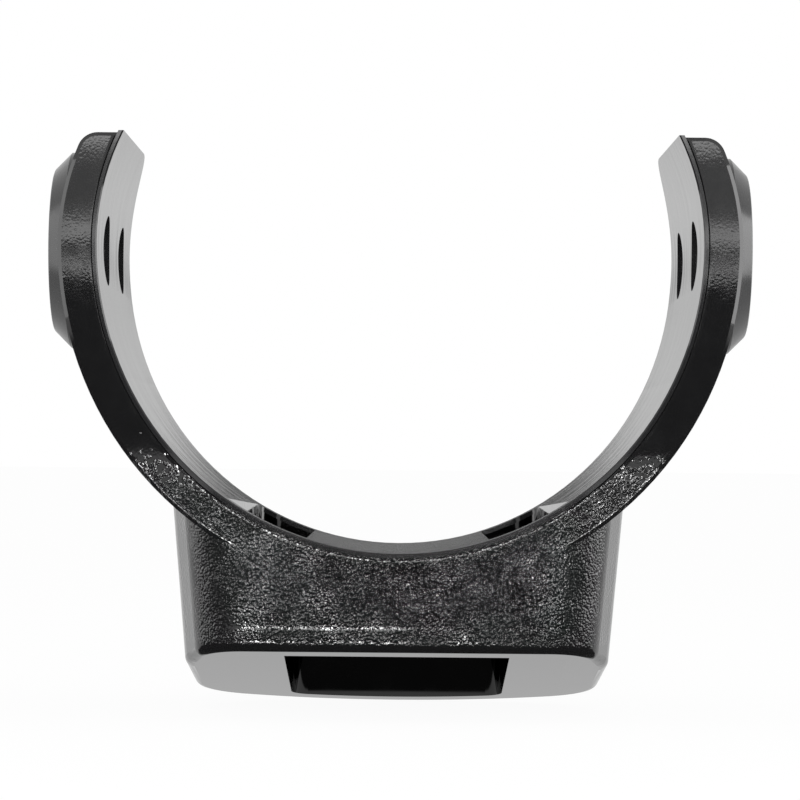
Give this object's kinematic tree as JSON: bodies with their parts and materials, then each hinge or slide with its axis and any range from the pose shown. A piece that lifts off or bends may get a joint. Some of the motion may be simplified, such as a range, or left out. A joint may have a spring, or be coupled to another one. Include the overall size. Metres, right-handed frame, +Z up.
{
  "type": "tube saddle",
  "caption": "C-shaped saddle with a thin smooth liner, raised pads with screw holes on both arms, and a hollow foot with a sloped underside, for fixing a fitting to a round boat tube.",
  "frame": {"origin": "on the axis of the gripped tube, half way along the saddle", "axes": "+X across the saddle towards the right arm, +Y along the tube from the front face to the rear, +Z up through the open mouth"},
  "size_m": [0.0742, 0.0446, 0.0616],
  "materials": {
    "grained_plastic": "fine-grained black moulded plastic, satin, with a fine leather-like grain",
    "smooth_plastic": "smooth black plastic with faint wavy streaks round the tube",
    "pad_plastic": "satin black plastic with a very fine grain"
  },
  "bodies": {
    "root": {"saddle_body": "grained_plastic", "saddle_liner": "smooth_plastic", "left_side_pad": "pad_plastic", "right_side_pad": "pad_plastic"}
  },
  "joints": []
}
